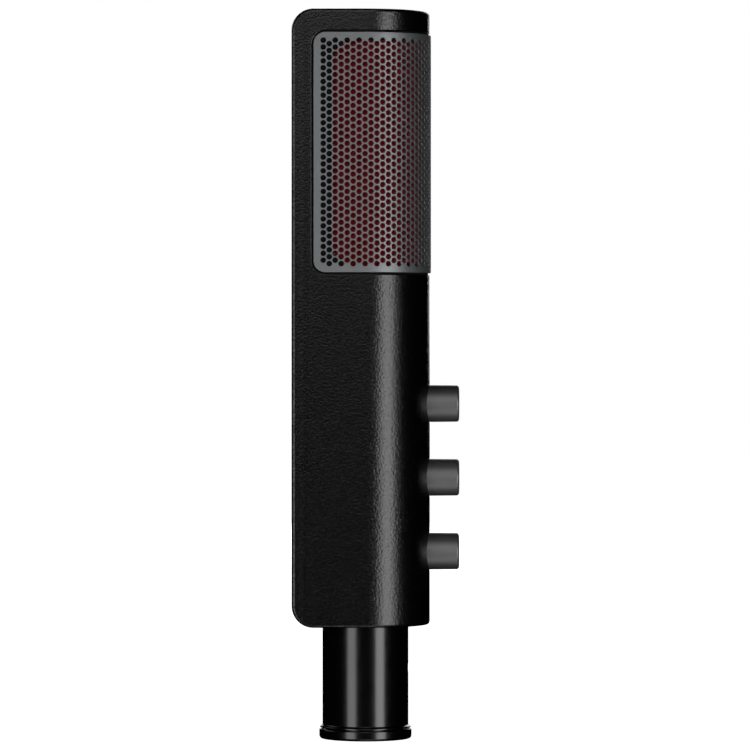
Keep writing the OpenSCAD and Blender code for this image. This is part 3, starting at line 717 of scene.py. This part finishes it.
knob_metal = satin_paint("blasted_dark_anodise", (0.125, 0.125, 0.127), (0.187, 0.187, 0.19),
                         0.48, 0.9, grain=0.1 * MM)
pointer_paint, pointer_place = new_finish("pointer_paint", (0.55, 0.55, 0.53), 0.5)
drive(pointer_paint, base_color=mixed(noise(pointer_place, 0.3 * MM),
                                      (0.42, 0.42, 0.40), (0.62, 0.62, 0.6)))
foot = 0.15 * MM
for name, z in knob_z.items():
    knob = turn([(0, 0)] + arc(knob_r - foot, foot, foot, -90, 0, steps=3)
                + arc(knob_end_r - knob_round, knob_length - knob_round, knob_round, 0, 90, steps=8)
                + [(0, knob_length)], name + "_dial", steps=128)
    knob.rotation_euler = (0, math.pi / 2, 0)
    knob.location = (knob_low.x, 0, z)
    settle(knob, name + "_dial")
    cut(knob, rod(shaft_r + 0.02 * MM, (knob_low.x - MM, 0, z), (shaft_bore_end, 0, z), steps=64),
        block((slot_floor, -slot_half, z + slot_from), (reach, slot_half, z + slot_to),
              corner=0.2 * MM, steps=3))
    shape(knob)
    round_edges(0.05 * MM, 2, lambda v: v.co.x > knob_high.x - close)
    shaped()
    finish_piece(knob, name + "_dial", name + "_control", knob_metal, "knob_coat", name + "_knob")
    knob.data.materials.append(pointer_paint)
    for face in knob.data.polygons:
        inside = abs(face.center.y) < slot_half and slot_from < face.center.z - z < slot_to
        if inside and abs(face.center.x - slot_floor) < close:
            face.material_index = 1

# ---- Stem, set screw and base ring ----
# The stem is a turned steel tube, plated satin black, with a flange at its foot that traps the base
# ring. The ring is turned too, and a small set screw holds the output connector in the tube.
stem_low, stem_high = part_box("stem_tube")
ring_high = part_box("base_ring")[1]
black_plate = brushed_metal("black_plated_steel", (0.0004, 0.0004, 0.0005), 0.21, along=2,
                            metallic=0.0, size=0.25 * MM)
stem_r = 12.75 * MM
flange_r = 13.45 * MM
spigot_r = 11 * MM
bore_r = 9.5 * MM
seat_z = 24 * MM
shoulder_z = 33.8 * MM
stem = turn(
    [(bore_r, seat_z), (spigot_r, seat_z), (spigot_r, stem_low.z)]
    + arc(flange_r - 0.1 * MM, stem_low.z + 0.1 * MM, 0.1 * MM, -90, 0, steps=4)
    + arc(flange_r - 0.2 * MM, stem_low.z + 0.3 * MM, 0.2 * MM, 0, 60, steps=4)
    + arc(stem_r + 0.3 * MM, stem_low.z + 1.0 * MM, 0.3 * MM, 240, 180, steps=5)
    + [(stem_r, 8 * MM), (stem_r, 14 * MM), (stem_r, 20 * MM), (stem_r, 26 * MM),
       (stem_r, shoulder_z - 0.1 * MM), (stem_r - 0.1 * MM, shoulder_z), (spigot_r, shoulder_z),
       (spigot_r, stem_high.z - 0.2 * MM), (spigot_r - 0.2 * MM, stem_high.z),
       (bore_r, stem_high.z), (bore_r, seat_z)], "stem", steps=192)
grub_z = 21 * MM
grub_r = 1.45 * MM
grub_hole_r = 1.5 * MM
key_r = 0.85 * MM
key_depth = 1.45 * MM
cut(stem, rod(grub_hole_r, (5 * MM, 0, grub_z), (20 * MM, 0, grub_z), steps=48))
shape(stem)
round_edges(0.12 * MM, 2, lambda v: math.hypot(v.co.x, v.co.y) > stem_r - 0.05 * MM
            and abs(v.co.z - grub_z) < 2 * grub_hole_r, degrees=40)
shaped()
finish_piece(stem, "stem", "housing", black_plate, "stem_black", "stem_tube")

ring_r = ring_high.y
ring_bore = 8.1 * MM
ring_top = 2.95 * MM
step_r = 11.4 * MM
step_z = 3.29 * MM
collar_r = 10.95 * MM
ring = turn(
    [(ring_bore, ring_high.z), (ring_bore, 0.4 * MM), (ring_bore + 0.4 * MM, 0)]
    + arc(ring_r - 0.9 * MM, 0.9 * MM, 0.9 * MM, -90, 0, steps=8)
    + arc(ring_r - 0.3 * MM, ring_top - 0.3 * MM, 0.3 * MM, 0, 90, steps=5)
    + [(step_r, ring_top), (step_r, step_z), (collar_r, step_z), (collar_r, ring_high.z),
       (ring_bore, ring_high.z)], "foot_ring", steps=192)
finish_piece(ring, "foot_ring", "housing", black_plate, "stem_black", "base_ring")

screw_low, screw_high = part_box("set_screw")
grub = rod(grub_r, (screw_low.x, 0, grub_z), (screw_high.x, 0, grub_z), steps=48)
cut(grub, rod(key_r, (screw_high.x - key_depth, 0, grub_z), (20 * MM, 0, grub_z), steps=6))
shape(grub)
round_edges(0.15 * MM, 2, lambda v: v.co.x > screw_high.x - close, degrees=40)
shaped()
finish_piece(grub, "grub_screw", "housing", black_oxide, "screw_black", "set_screw")

# ---- Output connector ----
# Three turned and gold-plated pins in a black moulded insert, pushed up into the stem's end.
insert_low, insert_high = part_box("connector_insert")
face_r = 7.4 * MM
groove_r = 7.6 * MM
rim_r = 8.0 * MM
groove_z = insert_low.z + 0.25 * MM
insert = turn(
    [(0, insert_low.z), (face_r, insert_low.z), (groove_r, groove_z), (rim_r, groove_z)]
    + arc(insert_high.y - 0.2 * MM, insert_low.z + 0.2 * MM, 0.2 * MM, -90, 0, steps=3)
    + [(insert_high.y, insert_high.z), (0, insert_high.z)], "pin_carrier", steps=96)
gold_low, gold_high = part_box("contact_pins")
pin_r = 1.2 * MM
pin_circle = 3.8 * MM
tip_r = 0.45 * MM
tip_round = 0.25 * MM
tip_length = 1.4 * MM
pin_places = [(pin_circle * math.cos(math.radians(a)), pin_circle * math.sin(math.radians(a)))
              for a in (90, 210, 330)]
for x, y in pin_places:
    cut(insert, rod(pin_r, (x, y, 10 * MM), (x, y, 30 * MM), steps=32))
finish_piece(insert, "pin_carrier", "housing", black_plastic, "insulator_board", "connector_insert")
first_pin = turn(
    [(0, gold_low.z)] + arc(tip_r, gold_low.z + tip_round, tip_round, -90, -20, steps=3)
    + [(pin_r, gold_low.z + tip_length), (pin_r, 12 * MM), (pin_r, gold_high.z - 0.1 * MM),
       (pin_r - 0.1 * MM, gold_high.z), (0, gold_high.z)], "gold_pins", steps=32)
pins = []
for x, y in pin_places:
    take(first_pin)
    bpy.ops.object.duplicate()
    pin = bpy.context.object
    pin.location = (x, y, 0)
    pins.append(settle(pin, "gold_pin"))
bpy.data.objects.remove(first_pin)
take(*pins)
bpy.ops.object.join()
gold = brushed_metal("gold_plating", (0.85, 0.6, 0.24), 0.25, along=0)
finish_piece(pins[0], "gold_pins", "housing", gold, "gold_contact", "contact_pins")

# ---- Headphone socket and its ring ----
# A 3.5 mm socket soldered to the small board at the foot, its nose inside a turned ring that is
# let into the rear cover.
nose_r = 3.0 * MM
nose_length = 1.55 * MM
plug_r = 1.8 * MM
plug_depth = 14.5 * MM
jack = block((jack_low.x + nose_length, jack_low.y, jack_low.z), jack_high)
shape(jack)
round_edges(0.25 * MM, 2)
shaped()
nose_root = (jack_low.x + 3 * MM, jack_y, jack_z)
cut(jack, rod(nose_r, (jack_low.x, jack_y, jack_z), nose_root, steps=64), operation="UNION")
cut(jack, rod(plug_r, (jack_low.x - MM, jack_y, jack_z), (jack_low.x + plug_depth, jack_y, jack_z),
              steps=48))
shape(jack)
round_edges(0.2 * MM, 3, lambda v: v.co.x < jack_low.x + close)
shaped()
finish_piece(jack, "headphone_socket", "housing", black_plastic, "insulator_board",
             "headphone_jack")

bezel_low, bezel_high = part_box("jack_ring")
bezel_r = (bezel_high.y - bezel_low.y) / 2
bezel_t = bezel_high.x - bezel_low.x
bezel = turn(
    [(nose_r + 0.05 * MM, 0), (bezel_r, 0)]
    + arc(bezel_r - 0.3 * MM, bezel_t - 0.3 * MM, 0.3 * MM, 0, 90)
    + arc(nose_r + 0.25 * MM, bezel_t - 0.2 * MM, 0.2 * MM, 90, 180, steps=4)
    + [(nose_r + 0.05 * MM, 0)], "socket_ring", steps=96)
bezel.rotation_euler = (0, -math.pi / 2, 0)
bezel.location = (bezel_high.x, jack_y, jack_z)
settle(bezel, "socket_ring")
finish_piece(bezel, "socket_ring", "housing", black_plate, "stem_black", "jack_ring")

# ---- USB socket ----
# A drawn steel shell with round corners on the same board, holding a black tongue. Its gold
# contacts are not drawn.
usb_wall = 0.3 * MM
usb_back = 0.6 * MM
tongue_set = 0.9 * MM
usb = block(usb_low, usb_high, corner=1.5 * MM, steps=10)
cut(usb, block((usb_low.x - MM, usb_low.y + usb_wall, usb_low.z + usb_wall),
               (usb_high.x - usb_back, usb_high.y - usb_wall, usb_high.z - usb_wall),
               corner=1.2 * MM, steps=10))
tongue_y, tongue_z = (usb_low.y + usb_high.y) / 2, (usb_low.z + usb_high.z) / 2
tongue_half = 3.3 * MM
tongue_thin = 0.35 * MM
cut(usb, block((usb_low.x + tongue_set, tongue_y - tongue_half, tongue_z - tongue_thin),
               (usb_high.x - 0.3 * MM, tongue_y + tongue_half, tongue_z + tongue_thin)),
    operation="UNION")
steel = brushed_metal("bright_steel", (0.5, 0.5, 0.49), 0.3, along=0)
finish_piece(usb, "usb_port", "housing", steel, "bare_steel", "usb_socket")
usb.data.materials.append(black_plastic)
for face in usb.data.polygons:
    x, y, z = face.center
    within = abs(y - tongue_y) < tongue_half + close and abs(z - tongue_z) < tongue_thin + close
    if within and x < usb_high.x - usb_back - 0.1 * MM:
        face.material_index = 1

# ---- Ribbon motor ----
# Behind the grille: a corrugated foil ribbon between two pole pieces, with a bar magnet at each
# side in a soft-iron yoke, insulated clamps at both ends, and a steel chassis behind that carries
# it on rubber mounts.
dress(brushed_metal("zinc_plated_steel", (0.42, 0.42, 0.40), 0.42),
      "chassis_frame", "transformer_bracket")
dress(brushed_metal("soft_iron", (0.3, 0.29, 0.28), 0.45),
      "motor_yoke", "pole_piece_left", "pole_piece_right")
dress(brushed_metal("nickel_plating", (0.6, 0.57, 0.52), 0.25), "magnet_left", "magnet_right")
dress(brushed_metal("ribbon_foil", (0.8, 0.8, 0.79), 0.35, along=1), "ribbon")
dress(brushed_metal("tinned_brass", (0.62, 0.5, 0.28), 0.35), "upper_clamp", "lower_clamp")
dress(black_oxide, "chassis_screws", "clamp_screws", "mount_screws", "transformer_screws",
      "bracket_screws", "board_screws")
dress(moulded("black_rubber", (0.012, 0.012, 0.012), 0.75), "rubber_mounts")
dress(moulded("fibre_board", (0.22, 0.13, 0.06), 0.6), "clamp_insulators")

# ---- Damping pad ----
# A soft pad of grey wool felt between the motor and the chassis, its edges pressed round.
pad = block(*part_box("damping_pad"))
shape(pad)
bpy.ops.mesh.bevel(offset=1.2 * MM, segments=4, affect="EDGES")
bpy.ops.mesh.select_all(action="SELECT")
bpy.ops.mesh.subdivide(number_cuts=3)
shaped()
# The darker grey is painted shade between the threads, and the lighter grey is painted light on
# their crowns.
wool = cloth("grey_felt", (0.10, 0.10, 0.098), (0.2, 0.2, 0.195), thread=0.8 * MM)
finish_piece(pad, "felt_pad", "housing", wool, "felt", "damping_pad")

# ---- Output transformer, boards and controls ----
# Below the grille: the can with its core, and the channel that carries the control board with its
# three pots, the main board on standoffs and the leads between them.
dress(brushed_metal("mu_metal_can", (0.5, 0.49, 0.46), 0.35), "transformer_can")
dress(moulded("varnished_winding", (0.25, 0.07, 0.02), 0.45), "transformer_core")
dress(brushed_metal("sheet_aluminium", (0.6, 0.6, 0.6), 0.4), "control_bracket")
circuit_board = moulded("green_solder_mask", (0.01, 0.06, 0.025), 0.35)
dress(circuit_board, "control_board", "main_board", "io_board")
dress(moulded("chip_plastic", (0.015, 0.015, 0.016), 0.5), "board_components")
dress(moulded("black_lead_jacket", (0.012, 0.012, 0.012), 0.5),
      "signal_lead", "ribbon_leads", "control_lead")
dress(brushed_metal("brass", (0.6, 0.45, 0.2), 0.35), "board_standoffs", "io_standoffs")
dress(brushed_metal("pressed_pot_steel", (0.55, 0.55, 0.53), 0.35),
      "gain_pot", "phones_pot", "mix_pot", "pot_washers", "pot_nuts", "gain_shaft", "phones_shaft",
      "mix_shaft", "stem_nut")

# ---- Floor, lights and camera ----
# A plain white floor and backdrop. Two tall soft boxes stand at the front, one at each side, with a
# broad dim one above the camera, and others fill in the knobs, the far side and the back.
def lamp(name, place, aim, width, height, strength):
    """A rectangular soft box that faces a point."""
    light = bpy.data.lights.new(name, "AREA")
    light.shape = "RECTANGLE"
    light.size = width
    light.size_y = height
    light.energy = strength * width * height
    box = bpy.data.objects.new(name, light)
    box.location = place
    box.rotation_euler = (Vector(aim) - Vector(place)).to_track_quat("-Z", "Y").to_euler()
    bpy.context.scene.collection.objects.link(box)


white, white_place = new_finish("white_floor", (0.9, 0.9, 0.9), 0.8)
white_shader = white.node_tree.nodes["Principled BSDF"]
white_shader.inputs["Emission Color"].default_value = (1, 1, 1, 1)
white_shader.inputs["Emission Strength"].default_value = 1.0
drive(white, roughness=noise(white_place, 40 * MM) * 0.1 + 0.75)
nothing_selected()
bpy.ops.mesh.primitive_plane_add(size=6, location=(0, 0, -0.1 * MM))
floor = settle(bpy.context.object, "floor")
floor.data.materials.append(white)
floor.visible_diffuse = False
floor.visible_glossy = False
floor.visible_shadow = False

target = Vector((2.84 * MM, 0, 107.77 * MM))
side_box_away = 0.9
side_box_z = -0.02
for name, azimuth, strength in (("left_box", -37, 12.0), ("right_box", 39, 16.5)):
    angle = math.radians(azimuth)
    place = (side_box_away * math.sin(angle), -side_box_away * math.cos(angle), side_box_z)
    lamp(name, place, target, 0.37, 0.77, strength)
lamp("front_box", (-0.1, -1.8, 0.85), target, 1.0, 1.0, 3.8)
lamp("high_box", (0.1, -0.95, 0.98), target, 0.5, 0.4, 5.0)
lamp("low_fill", (0.15, -0.55, -0.75), target, 0.7, 0.5, 4.3)
lamp("far_box", (0.1, 1.5, 0.45), target, 0.9, 0.7, 7.0)
lamp("back_box", (-1.4, 0.5, 0.7), target, 0.9, 0.9, 3.0)

world = bpy.data.worlds.new("white")
bpy.context.scene.world = world
world.use_nodes = True
world.node_tree.nodes["Background"].inputs["Color"].default_value = (1, 1, 1, 1)
world.node_tree.nodes["Background"].inputs["Strength"].default_value = 1.0
world.cycles_visibility.diffuse = False
world.cycles_visibility.glossy = False
world.cycles_visibility.transmission = False
world.cycles_visibility.scatter = False
bpy.context.scene.view_settings.view_transform = "Standard"

camera_data = bpy.data.cameras.new("camera")
camera_data.sensor_width = 36
camera_data.lens = 218.3
camera = bpy.data.objects.new("camera", camera_data)
camera_away = 1.35
camera_z = 118.17 * MM
camera.location = (target.x, -camera_away, camera_z)
camera.rotation_euler = (target - camera.location).to_track_quat("-Z", "Y").to_euler()
bpy.context.scene.collection.objects.link(camera)
bpy.context.scene.camera = camera
